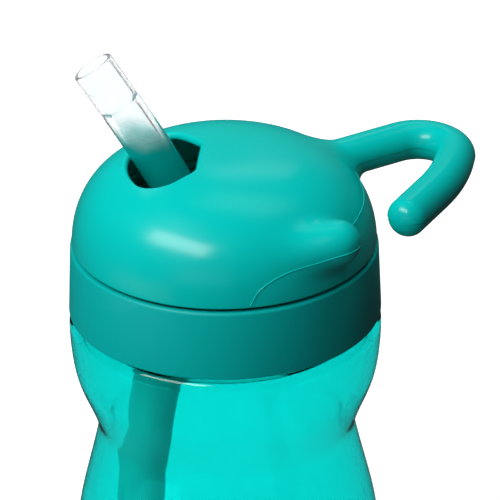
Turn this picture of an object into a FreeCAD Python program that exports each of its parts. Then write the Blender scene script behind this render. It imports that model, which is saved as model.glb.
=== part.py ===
"""Child's straw bottle: a waisted see-through bottle, a screw-on lid with a smooth band, and a
domed cap that turns on the lid to cover or free a soft straw. The cap carries a curled hook and
a thumb tab. Millimetres, +Z up, origin at the middle of the face that the bottle stands on.
The straw leans towards -X and the hook is on the +X side. Built at rest, with the cap open."""

import FreeCAD, Part
import math
import os

V = FreeCAD.Vector
Z_AXIS = V(0, 0, 1)

# Driving dimensions
CAP_BASE_Z = 126.0       # lower edge of the domed cap
BAND_GAP = 0.8           # dark gap between the cap and the lid's band
BAND_HEIGHT = 17.0
BAND_RADIUS_TOP = 36.3
BAND_RADIUS_FOOT = 37.0
BOTTLE_WALL = 2.0
SHOULDER_Z = 107.4       # top face of the bottle's shoulder, under the band
SHOULDER_ROUND = 2.6
NECK_RADIUS = 31.0
NECK_BORE = 28.6
NECK_TOP_Z = 120.5
FOOT_RING_OUTER = 30.0
FOOT_RING_INNER = 24.0
PUSH_UP = 4.5            # hollow in the middle of the bottle's underside
FLOOR_THICKNESS = 2.4

THREAD_PITCH = 5.0
THREAD_TURNS = 1.5
NECK_THREAD_FOOT_Z = 108.9
NECK_THREAD_CREST = 32.3
LID_THREAD_CREST = 31.4   # inside the neck's crest, so the two threads really engage
LID_THREAD_FOOT_Z = NECK_THREAD_FOOT_Z + THREAD_PITCH / 2
THREAD_BASE = 2.0
THREAD_TOP = 0.8

GASKET_HEIGHT = 2.0
DECK_THICKNESS = 2.0
DECK_TOP_Z = NECK_TOP_Z + GASKET_HEIGHT + DECK_THICKNESS
SKIRT_INNER = 33.2
SKIRT_OUTER = 34.8
SKIRT_FOOT_Z = 109.4

DOME_RADIUS = 35.95
DOME_HEIGHT = 24.4
DOME_DROP = 1.7          # how far the dome's widest level lies under its lower edge
DOME_ROUNDNESS = 3.0     # exponent of the radius in the dome's outline
DOME_CROWN = 2.3         # exponent of the height in the dome's outline
DOME_WALL = 1.6

OPENING_BACK_CORNER = V(-5.2, 5.0, 0)     # ends of the fan-shaped opening's straight inner side
OPENING_FRONT_CORNER = V(-6.5, -9.0, 0)
OPENING_BACK_SPREAD = 129.0               # headings of the sides that run out from those corners
OPENING_FRONT_SPREAD = -141.0
OPENING_OUTER = 22.8                      # the opening's round far side, from the axis
OPENING_OUTER_ROUND = 6.5
OPENING_BACK_ROUND = 1.8                  # roundings of the two corners near the axis
OPENING_FRONT_ROUND = 4.5

CAP_TURN = 105.0         # degrees from open to closed
RIM_INNER = 30.8         # the deck's upstanding rim, which the cap snaps round
RIM_OUTER = 32.0
RIM_BEAD = 32.6
RIM_TOP_Z = CAP_BASE_Z + 2.5
BEAD_FOOT_Z = CAP_BASE_Z + 1.4
RUN_CLEARANCE = 0.3
STOP_LUG_WIDTH = 6.0     # degrees

HOOK_RADIUS = 4.8
HOOK_HEIGHT = 12.0       # the hook's centre line, above the cap's lower edge
HOOK_BEND_CENTRE = V(46.2, 18.0, 0)
HOOK_BEND_RADIUS = 8.8
HOOK_LEG_HEADING = 31.6  # degrees, the leg that leaves the dome
HOOK_BEND_END = -98.0
HOOK_SWEEP_RADIUS = 55.0
HOOK_TIP_HEADING = -118.0
HOOK_TIP_LEG = 14.0

TAB_TIP = V(26.2, -23.6, CAP_BASE_Z + 10.6)
TAB_TIP_RADIUS = 5.3
TAB_ROOT = V(10.5, -23.5, CAP_BASE_Z + 6.6)
TAB_ROOT_RADIUS = 7.4

STRAW_AZIMUTH = 170.5    # degrees, the direction in which the straw leans
PORT_OFFSET = 9.8        # the straw's port, from the axis
STRAW_RADIUS = 4.95
STRAW_BORE = 3.5
STRAW_LIP_BORE = 4.05
STRAW_LIP_DEPTH = 11.0
STRAW_KNEE_Z = CAP_BASE_Z + 3.0
STRAW_KNEE_RADIUS = 24.0
STRAW_KNEE_ANGLE = 30.0
STRAW_BOW_RADIUS = 330.0
STRAW_BOW_LENGTH = 21.2
STRAW_BOTTOM_Z = 119.5

TUBE_RADIUS = 5.8
TUBE_BORE = 4.0
TUBE_TOP_Z = 118.0
TUBE_FOOT_Z = 9.0
TUBE_RUN = 2.0
TUBE_LEAN = 18.0         # degrees, how far the tube swings outwards under the lid
TUBE_KNEE_RADIUS = 28.0
TUBE_BOW_RADIUS = 220.0

POST_RADIUS = 3.4
POST_BORE = 2.3
POST_PLUG_FIT = 0.1      # gap round the plug in the dip tube's bore
POST_PLUG_LENGTH = 3.5   # short enough to end before the tube starts to bend
POST_FLANGE = 6.2
POST_TOP_Z = 131.0       # the post ends inside the straw, below the place where the straw folds
GROMMET_RADIUS = 5.9
GROMMET_FLANGE = 7.4
GROMMET_LIP = 1.0

VENT_PLACE = V(15.0, -10.0, 0)
VENT_HOLE = 1.5
VENT_SLOT_RADIUS = 0.7
VENT_SLOT_CIRCLE = 3.4
VENT_DISC = 5.4


# Helpers
def at_angle(radius, degrees, z=0.0):
    """A point at a radius and azimuth round the bottle's axis."""
    a = math.radians(degrees)
    return V(radius * math.cos(a), radius * math.sin(a), z)


def heading(degrees):
    a = math.radians(degrees)
    return V(math.cos(a), math.sin(a), 0)


def left_of(degrees):
    """The level direction to the left of a heading."""
    a = math.radians(degrees)
    return V(-math.sin(a), math.cos(a), 0)


def spline(points, start=None, end=None):
    """A smooth edge through the points, with set end tangents where they matter."""
    curve = Part.BSplineCurve()
    if start is None:
        curve.interpolate(points)
    else:
        curve.interpolate(Points=points, InitialTangent=start, FinalTangent=end)
    return curve.toShape()


def line(a, b):
    return Part.makeLine(a, b)


def arc(a, b, c):
    return Part.Arc(a, b, c).toShape()


def turned(edges):
    """The closed outline, in the XZ plane, turned into a solid of revolution."""
    wire = Part.Wire(Part.__sortEdges__(edges))
    solid = Part.Face(wire).revolve(V(0, 0, 0), Z_AXIS, 360)
    return Part.makeSolid(solid) if solid.ShapeType != "Solid" else solid


def outline(points):
    """A closed outline of straight lines through (radius, z) pairs."""
    corners = [V(r, 0, z) for r, z in points]
    return [line(a, b) for a, b in zip(corners, corners[1:] + corners[:1])]


def ring(inner, outer, foot, top):
    return turned(outline([(inner, foot), (outer, foot), (outer, top), (inner, top)]))


def tube_along(path, radius, start, direction):
    """A round bar along a wire that starts at a point, in a direction."""
    circle = Part.Wire([Part.Circle(start, direction, radius).toShape()])
    return path.makePipeShell([circle], True, False)


def sector(from_degrees, to_degrees, inner, outer, foot, top):
    """A wedge-shaped ring piece round the axis."""
    middle = (from_degrees + to_degrees) / 2
    ends = (from_degrees, to_degrees)
    outer_points = [at_angle(outer, a, foot) for a in (ends[0], middle, ends[1])]
    inner_points = [at_angle(inner, a, foot) for a in (ends[1], middle, ends[0])]
    edges = [
        arc(*outer_points),
        line(outer_points[2], inner_points[0]),
        arc(*inner_points),
        line(inner_points[2], outer_points[0]),
    ]
    return Part.Face(Part.Wire(edges)).extrude(V(0, 0, top - foot))


def thread(radius, crest, foot_z):
    """A helical ridge that starts on a cylinder of the given radius; crest may be inside or outside."""
    side = 1 if crest > radius else -1
    root = radius - 0.3 * side
    height = THREAD_PITCH * THREAD_TURNS
    helix = Part.makeHelix(THREAD_PITCH, height, radius)
    half_base, half_top = THREAD_BASE / 2, THREAD_TOP / 2
    profile = Part.Wire(
        outline([(root, -half_base), (crest, -half_top), (crest, half_top), (root, half_base)])
    )
    ridge = Part.Wire(helix.Edges).makePipeShell([profile], True, True)
    ridge.translate(V(0, 0, foot_z))
    return ridge


# The bottle
def bottle_body():
    """Waisted shell with a foot ring, a hollow underside and a threaded neck."""
    wall = [
        (35.0, 5.6), (36.5, 17), (37.3, 31), (37.1, 43.5), (35.2, 57.5), (32.9, 67),
        (31.25, 74), (30.8, 77.3), (31.45, 80.6), (33.2, 85.3), (35.4, 91), (36.6, 97.5),
        (BAND_RADIUS_FOOT, SHOULDER_Z - SHOULDER_ROUND),
    ]
    outside = [V(r, 0, z) for r, z in wall]
    inside = [V(r - BOTTLE_WALL, 0, z) for r, z in wall]
    inside[0] = V(wall[0][0] - BOTTLE_WALL, 0, wall[0][1] + 1.0)
    lean = V(0.22, 0, 1)
    round_in = SHOULDER_ROUND * (1 - math.sqrt(0.5))
    edge = BAND_RADIUS_FOOT
    shoulder_in = edge - SHOULDER_ROUND
    neck_foot = V(NECK_RADIUS, 0, SHOULDER_Z)
    shoulder_foot = V(shoulder_in, 0, SHOULDER_Z)
    ring_edge = V(FOOT_RING_OUTER, 0, 0)
    inner_floor_edge = V(FOOT_RING_OUTER - 1.0, 0, FLOOR_THICKNESS)
    dish = (FOOT_RING_INNER**2 + PUSH_UP**2) / (2 * PUSH_UP)
    upper_dish = dish + FLOOR_THICKNESS
    dish_edge = math.sqrt(upper_dish**2 - (upper_dish - PUSH_UP) ** 2)

    def on_dish(x, radius):
        """A point of a round dish whose centre lies on the axis, below the bottle."""
        return V(x, 0, PUSH_UP - dish + math.sqrt(radius**2 - x**2))

    inner_shoulder = V(NECK_BORE, 0, SHOULDER_Z - BOTTLE_WALL)
    inner_turn = V(shoulder_in - 0.4, 0, SHOULDER_Z - BOTTLE_WALL)
    edges = [
        spline(outside, lean, Z_AXIS),
        arc(outside[-1], V(edge - round_in, 0, SHOULDER_Z - round_in), shoulder_foot),
        line(shoulder_foot, neck_foot),
        line(neck_foot, V(NECK_RADIUS, 0, NECK_TOP_Z)),
        line(V(NECK_RADIUS, 0, NECK_TOP_Z), V(NECK_BORE, 0, NECK_TOP_Z)),
        line(V(NECK_BORE, 0, NECK_TOP_Z), inner_shoulder),
        line(inner_shoulder, inner_turn),
        line(inner_turn, inside[-1]),
        spline(inside, lean, Z_AXIS),
        arc(inside[0], V(31.8, 0, 3.6), inner_floor_edge),
        line(inner_floor_edge, on_dish(dish_edge, upper_dish)),
        arc(on_dish(dish_edge, upper_dish), on_dish(dish_edge / 2, upper_dish), on_dish(0, upper_dish)),
        line(on_dish(0, upper_dish), on_dish(0, dish)),
        arc(on_dish(0, dish), on_dish(FOOT_RING_INNER / 2, dish), on_dish(FOOT_RING_INNER, dish)),
        line(V(FOOT_RING_INNER, 0, 0), ring_edge),
        arc(ring_edge, V(33.2, 0, 1.5), outside[0]),
    ]
    shell = turned(edges)
    return shell.fuse(thread(NECK_RADIUS, NECK_THREAD_CREST, NECK_THREAD_FOOT_Z)).removeSplitter()


# The lid
def collar_band():
    """The plain outer band, a little wider at its foot, with a rounded top edge."""
    top = CAP_BASE_Z - BAND_GAP
    foot = top - BAND_HEIGHT
    bore = SKIRT_OUTER
    band = turned(outline([(bore, foot), (BAND_RADIUS_FOOT, foot), (BAND_RADIUS_TOP, top), (bore, top)]))
    rims = [e for e in band.Edges if e.BoundBox.ZMin > top - 0.01 and e.BoundBox.XMax > bore + 0.5]
    return band.makeFillet(0.7, rims)


def port_centre(z):
    return at_angle(PORT_OFFSET, STRAW_AZIMUTH, z)


def lid_deck():
    """Threaded skirt, deck plate, straw port, vent seat and the rim that the cap snaps round."""
    under = DECK_TOP_Z - DECK_THICKNESS
    body = turned(outline([
        (0, under), (SKIRT_INNER, under), (SKIRT_INNER, SKIRT_FOOT_Z), (SKIRT_OUTER, SKIRT_FOOT_Z),
        (SKIRT_OUTER, DECK_TOP_Z), (RIM_OUTER, DECK_TOP_Z), (RIM_OUTER, BEAD_FOOT_Z),
        (RIM_BEAD, BEAD_FOOT_Z + 0.3), (RIM_BEAD, RIM_TOP_Z - 0.6), (RIM_OUTER, RIM_TOP_Z),
        (RIM_INNER, RIM_TOP_Z), (RIM_INNER, DECK_TOP_Z), (0, DECK_TOP_Z),
    ]))
    body = body.fuse(thread(SKIRT_INNER, LID_THREAD_CREST, LID_THREAD_FOOT_Z))
    lug_half = STOP_LUG_WIDTH / 2
    lug_foot = CAP_BASE_Z + 0.1
    lug = sector(-lug_half, lug_half, RIM_OUTER - 0.5, RIM_BEAD + 0.9, lug_foot, RIM_TOP_Z - 0.4)
    body = body.fuse(lug)
    body = body.cut(Part.makeCylinder(GROMMET_RADIUS, 10, port_centre(under - 4)))
    vent = VENT_PLACE + V(0, 0, under - 1)
    body = body.cut(Part.makeCylinder(VENT_HOLE, 6, vent))
    for quarter in range(4):
        slot = vent + at_angle(VENT_SLOT_CIRCLE, 45 + 90 * quarter)
        body = body.cut(Part.makeCylinder(VENT_SLOT_RADIUS, 6, slot))
    return body.removeSplitter()


def lid_gasket():
    """Flat silicone ring between the deck and the bottle's mouth."""
    return ring(NECK_BORE - 0.6, NECK_RADIUS + 1.2, NECK_TOP_Z, NECK_TOP_Z + GASKET_HEIGHT)


def port_grommet():
    """Flanged silicone bush that seals the straw in the deck."""
    under = DECK_TOP_Z - DECK_THICKNESS
    bush = turned(outline([
        (STRAW_RADIUS, under - GROMMET_LIP), (GROMMET_FLANGE, under - GROMMET_LIP),
        (GROMMET_FLANGE, under), (GROMMET_RADIUS, under), (GROMMET_RADIUS, DECK_TOP_Z),
        (GROMMET_FLANGE, DECK_TOP_Z), (GROMMET_FLANGE - 0.6, DECK_TOP_Z + GROMMET_LIP),
        (STRAW_RADIUS, DECK_TOP_Z + GROMMET_LIP),
    ]))
    bush.translate(port_centre(0))
    return bush


def radial(s, z):
    """A point s out along the straw's direction of lean, at height z."""
    return at_angle(s, STRAW_AZIMUTH, z)


def circle_arc(centre, radius, from_degrees, to_degrees):
    """An arc in the straw's upright plane; angles run from outwards (0) to upwards (90)."""
    def point(degrees):
        a = math.radians(degrees)
        return radial(centre[0] + radius * math.cos(a), centre[1] + radius * math.sin(a))
    return arc(point(from_degrees), point((from_degrees + to_degrees) / 2), point(to_degrees))


def straw_knee():
    """Centres of the straw's knee and of the slow bow above it."""
    knee_centre = (PORT_OFFSET + STRAW_KNEE_RADIUS, STRAW_KNEE_Z)
    angle = math.radians(STRAW_KNEE_ANGLE)
    knee_end = (
        knee_centre[0] - STRAW_KNEE_RADIUS * math.cos(angle),
        STRAW_KNEE_Z + STRAW_KNEE_RADIUS * math.sin(angle),
    )
    bow_centre = (
        knee_end[0] + STRAW_BOW_RADIUS * math.cos(angle),
        knee_end[1] - STRAW_BOW_RADIUS * math.sin(angle),
    )
    return knee_centre, bow_centre


def straw_run(foot_z, bow_length):
    """Edges of the straw's middle line: upright, round the knee and along the bow."""
    knee_centre, bow_centre = straw_knee()
    last = 180 - STRAW_KNEE_ANGLE - math.degrees(bow_length / STRAW_BOW_RADIUS)
    return [
        line(radial(PORT_OFFSET, foot_z), radial(PORT_OFFSET, STRAW_KNEE_Z)),
        circle_arc(knee_centre, STRAW_KNEE_RADIUS, 180, 180 - STRAW_KNEE_ANGLE),
        circle_arc(bow_centre, STRAW_BOW_RADIUS, 180 - STRAW_KNEE_ANGLE, last),
    ]


def straw_post():
    """Stiff hollow post: it plugs into the dip tube below, and the soft straw is pushed over it."""
    foot = TUBE_TOP_Z - POST_PLUG_LENGTH
    start = radial(PORT_OFFSET, foot)
    post = Part.makeCylinder(POST_RADIUS, POST_TOP_Z - foot, start)
    plug = Part.makeCylinder(TUBE_BORE - POST_PLUG_FIT, TUBE_TOP_Z - foot, start)
    flange = Part.makeCylinder(POST_FLANGE, STRAW_BOTTOM_Z - TUBE_TOP_Z, radial(PORT_OFFSET, TUBE_TOP_Z))
    bore = Part.makeCylinder(POST_BORE, POST_TOP_Z - foot, start)
    return post.fuse([plug, flange]).cut(bore).removeSplitter()


def straw_tube():
    """Dip tube: a short upright run under the lid, a knee, then one long bow to the bottle's floor."""
    run_end = TUBE_TOP_Z - TUBE_RUN
    lean = math.radians(TUBE_LEAN)
    knee_centre = (PORT_OFFSET + TUBE_KNEE_RADIUS, run_end)
    knee_end = (
        knee_centre[0] - TUBE_KNEE_RADIUS * math.cos(lean),
        run_end - TUBE_KNEE_RADIUS * math.sin(lean),
    )
    bow_centre = (
        knee_end[0] - TUBE_BOW_RADIUS * math.cos(lean),
        knee_end[1] - TUBE_BOW_RADIUS * math.sin(lean),
    )
    last = math.degrees(math.asin((TUBE_FOOT_Z - bow_centre[1]) / TUBE_BOW_RADIUS))
    start = radial(PORT_OFFSET, TUBE_TOP_Z)
    path = Part.Wire([
        line(start, radial(PORT_OFFSET, run_end)),
        circle_arc(knee_centre, TUBE_KNEE_RADIUS, 180, 180 + TUBE_LEAN),
        circle_arc(bow_centre, TUBE_BOW_RADIUS, TUBE_LEAN, last),
    ])
    outer = tube_along(path, TUBE_RADIUS, start, Z_AXIS)
    return outer.cut(tube_along(path, TUBE_BORE, start, Z_AXIS))


def vent_valve():
    """Silicone umbrella valve: a disc under the deck, a stem through it and a bulb that holds it."""
    under = DECK_TOP_Z - DECK_THICKNESS
    stem = VENT_HOLE
    valve = turned(outline([
        (0, under - 1.6), (1.4, under - 1.6), (VENT_DISC, under - 0.7), (VENT_DISC, under),
        (stem, under), (stem, DECK_TOP_Z), (stem + 0.7, DECK_TOP_Z + 0.2),
        (stem + 0.5, DECK_TOP_Z + 1.3), (0, DECK_TOP_Z + 2.0),
    ]))
    valve.translate(VENT_PLACE)
    return valve


def friction_ring():
    """Soft ring that the cap turns against, which holds it open or closed."""
    radius = 0.72
    middle = V((RIM_OUTER + SKIRT_OUTER) / 2, 0, DECK_TOP_Z + radius)
    return Part.makeTorus(middle.x, radius, V(0, 0, middle.z), Z_AXIS)


# The cap
def dome_outline(radius, height, count=15):
    """Points of the dome's curve in the XZ plane, from its lower edge to its crown."""
    points = []
    lowest = math.asin((DOME_DROP / height) ** (DOME_CROWN / 2))
    for i in range(count):
        t = lowest + (math.pi / 2 - lowest) * i / (count - 1)
        r = radius * max(math.cos(t), 0.0) ** (2 / DOME_ROUNDNESS)
        z = CAP_BASE_Z - DOME_DROP + height * math.sin(t) ** (2 / DOME_CROWN)
        points.append(V(r, 0, z))
    points[-1] = V(0, 0, CAP_BASE_Z - DOME_DROP + height)
    return points


def dome_solid(radius, height):
    """The full dome, closed underneath."""
    points = dome_outline(radius, height)
    curve = spline(points, Z_AXIS, V(-1, 0, 0))
    foot = V(0, 0, CAP_BASE_Z)
    return turned([curve, line(points[-1], foot), line(foot, points[0])])


def far_end(corner, degrees):
    """Where a side that leaves a corner meets the opening's round far side."""
    way = heading(degrees)
    reach = -corner.dot(way) + math.sqrt(corner.dot(way) ** 2 - corner.dot(corner) + OPENING_OUTER**2)
    return corner + way * reach


def opening_prism(height=40.0):
    """The fan-shaped opening: a straight side near the axis, spreading to a round far side."""
    level = V(0, 0, CAP_BASE_Z + 8)
    back, front = OPENING_BACK_CORNER, OPENING_FRONT_CORNER
    far_back, far_front = far_end(back, OPENING_BACK_SPREAD), far_end(front, OPENING_FRONT_SPREAD)
    edges = [
        line(front, back),
        line(back, far_back),
        arc(far_back, V(-OPENING_OUTER, 0, 0), far_front),
        line(far_front, front),
    ]
    prism = Part.Face(Part.Wire(edges)).extrude(V(0, 0, height))
    for corners, radius in (
        ((far_back, far_front), OPENING_OUTER_ROUND),
        ((back,), OPENING_BACK_ROUND),
        ((front,), OPENING_FRONT_ROUND),
    ):
        upright = [
            e for e in prism.Edges
            if e.BoundBox.ZLength > height - 1
            and any((e.Vertexes[0].Point - c).cross(Z_AXIS).Length < 0.01 for c in corners)
        ]
        prism = prism.makeFillet(radius, upright)
    prism.translate(level)
    return prism


def dome_shell():
    """The smooth outer cap, with its opening."""
    shell = dome_solid(DOME_RADIUS, DOME_HEIGHT).cut(
        dome_solid(DOME_RADIUS - DOME_WALL, DOME_HEIGHT - DOME_WALL)
    )
    return shell.cut(opening_prism())


def dome_snap_ring():
    """Ring inside the cap that clips under the deck's bead; a window in it meets the stop lug."""
    outer = DOME_RADIUS - DOME_WALL - 0.15
    lip = RIM_OUTER + RUN_CLEARANCE
    bore = RIM_BEAD + RUN_CLEARANCE
    foot = CAP_BASE_Z + 0.15
    lip_top = BEAD_FOOT_Z - RUN_CLEARANCE
    top = CAP_BASE_Z + 4.0
    snap = turned(outline([
        (lip, foot), (outer, foot), (outer, top), (bore, top), (bore, lip_top), (lip, lip_top),
    ]))
    margin = STOP_LUG_WIDTH / 2 + 1.0
    window = sector(-margin, CAP_TURN + margin, lip - 1, RIM_BEAD + 1.2, foot - 1, RIM_TOP_Z)
    under_dome = dome_solid(DOME_RADIUS - DOME_WALL - 0.02, DOME_HEIGHT - DOME_WALL - 0.02)
    return snap.cut(window).common(under_dome)


def hook_path():
    """The hook's centre line: straight out of the dome, round a tight bend, a slow sweep and a leg."""
    level = V(0, 0, CAP_BASE_Z + HOOK_HEIGHT)
    centre = HOOK_BEND_CENTRE + level

    def on_bend(degrees):
        return centre + left_of(degrees) * HOOK_BEND_RADIUS

    bend_start, bend_end = on_bend(HOOK_LEG_HEADING), on_bend(HOOK_BEND_END)
    root = bend_start - heading(HOOK_LEG_HEADING) * 18.0
    sweep_centre = bend_end - left_of(HOOK_BEND_END) * HOOK_SWEEP_RADIUS

    def on_sweep(degrees):
        return sweep_centre + left_of(degrees) * HOOK_SWEEP_RADIUS

    sweep_end = on_sweep(HOOK_TIP_HEADING)
    tip = sweep_end + heading(HOOK_TIP_HEADING) * HOOK_TIP_LEG
    path = Part.Wire([
        line(root, bend_start),
        arc(bend_start, on_bend((HOOK_LEG_HEADING + HOOK_BEND_END) / 2), bend_end),
        arc(bend_end, on_sweep((HOOK_BEND_END + HOOK_TIP_HEADING) / 2), sweep_end),
        line(sweep_end, tip),
    ])
    return path, root, tip


def carry_hook():
    """Round bar curled level beside the dome, joined to it at one end, with a rounded tip."""
    path, root, tip = hook_path()
    bar = tube_along(path, HOOK_RADIUS, root, heading(HOOK_LEG_HEADING))
    bar = bar.fuse(Part.makeSphere(HOOK_RADIUS, tip)).removeSplitter()
    return bar.cut(dome_solid(DOME_RADIUS, DOME_HEIGHT))


def thumb_tab():
    """Tapered stub that stands out of the dome for the thumb."""
    along = TAB_TIP - TAB_ROOT
    cone = Part.makeCone(TAB_ROOT_RADIUS, TAB_TIP_RADIUS, along.Length, TAB_ROOT, along)
    stub = cone.fuse(Part.makeSphere(TAB_TIP_RADIUS, TAB_TIP))
    stub = stub.cut(dome_solid(DOME_RADIUS, DOME_HEIGHT))
    below = Part.makeBox(120, 120, 20, V(-60, -60, CAP_BASE_Z - 20))
    return stub.cut(below).removeSplitter()


# The straw that is drunk from
def mouth_straw():
    """Soft straw: up through the grommet, bent at the knee, slightly bowed, with a wider lip bore."""
    run = straw_run(STRAW_BOTTOM_Z, STRAW_BOW_LENGTH)
    bow_end = run[-1].Vertexes[-1].Point
    lean = math.radians(STRAW_KNEE_ANGLE + math.degrees(STRAW_BOW_LENGTH / STRAW_BOW_RADIUS))
    direction = radial(math.sin(lean), math.cos(lean))
    lip = bow_end + direction * STRAW_LIP_DEPTH
    path = Part.Wire([*run, line(bow_end, lip)])
    start = radial(PORT_OFFSET, STRAW_BOTTOM_Z)
    body = tube_along(path, STRAW_RADIUS, start, Z_AXIS)
    body = body.cut(tube_along(path, STRAW_BORE, start, Z_AXIS))
    counterbore = Part.makeCylinder(STRAW_LIP_BORE, STRAW_LIP_DEPTH + 1, bow_end, direction)
    return body.cut(counterbore)


PARTS = [
    bottle_body, collar_band, lid_deck, lid_gasket, port_grommet, straw_post, straw_tube,
    vent_valve, friction_ring, dome_shell, dome_snap_ring, carry_hook, thumb_tab, mouth_straw,
]

os.makedirs("parts", exist_ok=True)
for make in PARTS:
    shape = make()
    print(make.__name__, shape.ShapeType, len(shape.Solids), shape.isValid(), round(shape.Volume, 1))
    shape.exportStep("parts/" + make.__name__ + ".step")
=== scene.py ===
# %% [markdown]
# A see-through straw bottle. Its shape comes from a imported CAD model, which is loaded first and
# kept as a fixed frame: every piece made here is in metres, in that frame, and all but the straw
# move with one of its bodies. The bottle stands at the origin, the straw leans to -X and the hook is on the
# +X side.

# %% Load the frame
import bmesh
import bpy
import math
import numpy as np
from mathutils import Matrix, Vector


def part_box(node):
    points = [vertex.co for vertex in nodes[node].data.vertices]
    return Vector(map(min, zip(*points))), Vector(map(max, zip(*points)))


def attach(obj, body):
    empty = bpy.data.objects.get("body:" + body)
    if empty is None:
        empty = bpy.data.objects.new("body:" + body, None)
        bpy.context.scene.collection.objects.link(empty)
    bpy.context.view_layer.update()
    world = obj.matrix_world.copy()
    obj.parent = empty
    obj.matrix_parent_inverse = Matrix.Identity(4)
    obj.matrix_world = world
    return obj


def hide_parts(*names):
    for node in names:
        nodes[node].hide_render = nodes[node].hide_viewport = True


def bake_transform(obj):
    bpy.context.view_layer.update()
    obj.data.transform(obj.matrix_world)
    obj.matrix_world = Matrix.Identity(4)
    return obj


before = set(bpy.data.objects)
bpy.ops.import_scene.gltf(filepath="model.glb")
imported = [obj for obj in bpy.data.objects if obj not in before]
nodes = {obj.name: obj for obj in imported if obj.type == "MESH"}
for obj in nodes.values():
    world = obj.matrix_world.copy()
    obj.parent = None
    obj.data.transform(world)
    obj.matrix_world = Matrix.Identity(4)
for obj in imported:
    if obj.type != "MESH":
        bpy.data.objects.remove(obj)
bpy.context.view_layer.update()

MM = 0.001

# %% [markdown]
# Three small helpers serve every piece. One makes an object from points and faces, one makes a
# closed surface from rings of points, and one sets a material on the shader's own sockets.

# %% Mesh helpers
def make_object(name, points, faces, smooth=True):
    """A mesh object whose place is in its mesh, with faces pointing outwards."""
    mesh = bpy.data.meshes.new(name)
    mesh.from_pydata([tuple(p) for p in points], [], faces)
    mesh.polygons.foreach_set("use_smooth", [smooth] * len(mesh.polygons))
    work = bmesh.new()
    work.from_mesh(mesh)
    bmesh.ops.remove_doubles(work, verts=work.verts, dist=1e-7)
    bmesh.ops.recalc_face_normals(work, faces=work.faces)
    work.to_mesh(mesh)
    work.free()
    thing = bpy.data.objects.new(name, mesh)
    bpy.context.scene.collection.objects.link(thing)
    return thing


def ring_faces(rings, count, closed=False):
    """Quads that join each ring of points to the next, round the ring and back to its start."""
    faces = []
    last = rings if closed else rings - 1
    for r in range(last):
        here, after = r * count, ((r + 1) % rings) * count
        for c in range(count):
            step = (c + 1) % count
            faces.append((here + c, here + step, after + step, after + c))
    return faces


def unit(v):
    """Vectors scaled to length one, along the last axis."""
    v = np.asarray(v, float)
    return v / np.maximum(np.linalg.norm(v, axis=-1, keepdims=True), 1e-12)


# %% [markdown]
# The domed cap is a superellipse turned about the axis: flatter on top and steeper at its lower edge
# than a ball. A point on it is named by how far it lies from the crown, from 0 to 1 along the curve,
# and by its azimuth. That makes a round map of the dome, on which rings can be spread evenly.

# %% The dome's shape
cap_low, cap_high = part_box("dome_shell")
CAP_BASE = cap_low.z
DOME_RADIUS = 35.95 * MM
DOME_DROP = 1.7 * MM
DOME_HEIGHT = cap_high.z - cap_low.z + DOME_DROP
ROUNDNESS = 3.0
CROWN = 2.3
SHELL = 1.7 * MM

lowest = math.asin((DOME_DROP / DOME_HEIGHT) ** (CROWN / 2))
turn = np.linspace(math.pi / 2, lowest, 4000)
curve_r = DOME_RADIUS * np.maximum(np.cos(turn), 0) ** (2 / ROUNDNESS)
curve_z = CAP_BASE - DOME_DROP + DOME_HEIGHT * np.sin(turn) ** (2 / CROWN)
curve_r[0] = 0.0
curve_s = np.concatenate([[0], np.cumsum(np.hypot(np.diff(curve_r), np.diff(curve_z)))])
DOME_LENGTH = curve_s[-1]
curve_s = curve_s / DOME_LENGTH
print("crown to lower edge, along the dome:", round(DOME_LENGTH / MM, 1), "mm")


def dome_level(points):
    """Signed distance from the dome, near enough: negative inside, positive outside."""
    r = np.maximum(np.hypot(points[..., 0], points[..., 1]), 1e-7)
    z = np.maximum(points[..., 2] - CAP_BASE + DOME_DROP, 1e-6)
    value = (r / DOME_RADIUS) ** ROUNDNESS + (z / DOME_HEIGHT) ** CROWN - 1
    slope_r = ROUNDNESS / DOME_RADIUS * (r / DOME_RADIUS) ** (ROUNDNESS - 1)
    slope_z = CROWN / DOME_HEIGHT * (z / DOME_HEIGHT) ** (CROWN - 1)
    return value / np.hypot(slope_r, slope_z)


def dome_normal(points):
    r = np.maximum(np.hypot(points[..., 0], points[..., 1]), 1e-7)
    z = np.maximum(points[..., 2] - CAP_BASE + DOME_DROP, 1e-6)
    out = ROUNDNESS / DOME_RADIUS * (r / DOME_RADIUS) ** (ROUNDNESS - 1)
    up = CROWN / DOME_HEIGHT * (z / DOME_HEIGHT) ** (CROWN - 1)
    return unit(np.stack([out * points[..., 0] / r, out * points[..., 1] / r, up], axis=-1))


def on_dome(flat):
    """Points of the round map, in a unit disc, put on the dome."""
    away = np.hypot(flat[..., 0], flat[..., 1])
    r = np.interp(away, curve_s, curve_r)
    z = np.interp(away, curve_s, curve_z)
    safe = np.maximum(away, 1e-9)
    return np.stack([flat[..., 0] / safe * r, flat[..., 1] / safe * r, z], axis=-1)


def onto_map(x, y):
    """Where a point of the dome, given from above, lies on the round map."""
    r = np.hypot(x, y)
    away = np.interp(r, curve_r, curve_s)
    return np.stack([x / np.maximum(r, 1e-9) * away, y / np.maximum(r, 1e-9) * away], axis=-1)


# %% [markdown]
# The thumb tab is a stubby bar that grows out of the dome with wide fillets. The dome and the bar are
# each given as a distance, and a smooth minimum of the two distances is one surface with the fillet
# already in it. Points of the dome near the tab slide out to that surface along rays from a place
# deep inside the tab's root, so that dome and tab stay one unbroken skin.

# %% The tab, blended into the dome
TAB_TIP = np.array([26.2 * MM, -23.6 * MM, CAP_BASE + 10.6 * MM])
TAB_ROOT = np.array([10.5 * MM, -23.5 * MM, CAP_BASE + 6.6 * MM])
TAB_TIP_RADIUS = 5.3 * MM
TAB_ROOT_RADIUS = 7.4 * MM
TAB_FILLET = 3.6 * MM


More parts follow.
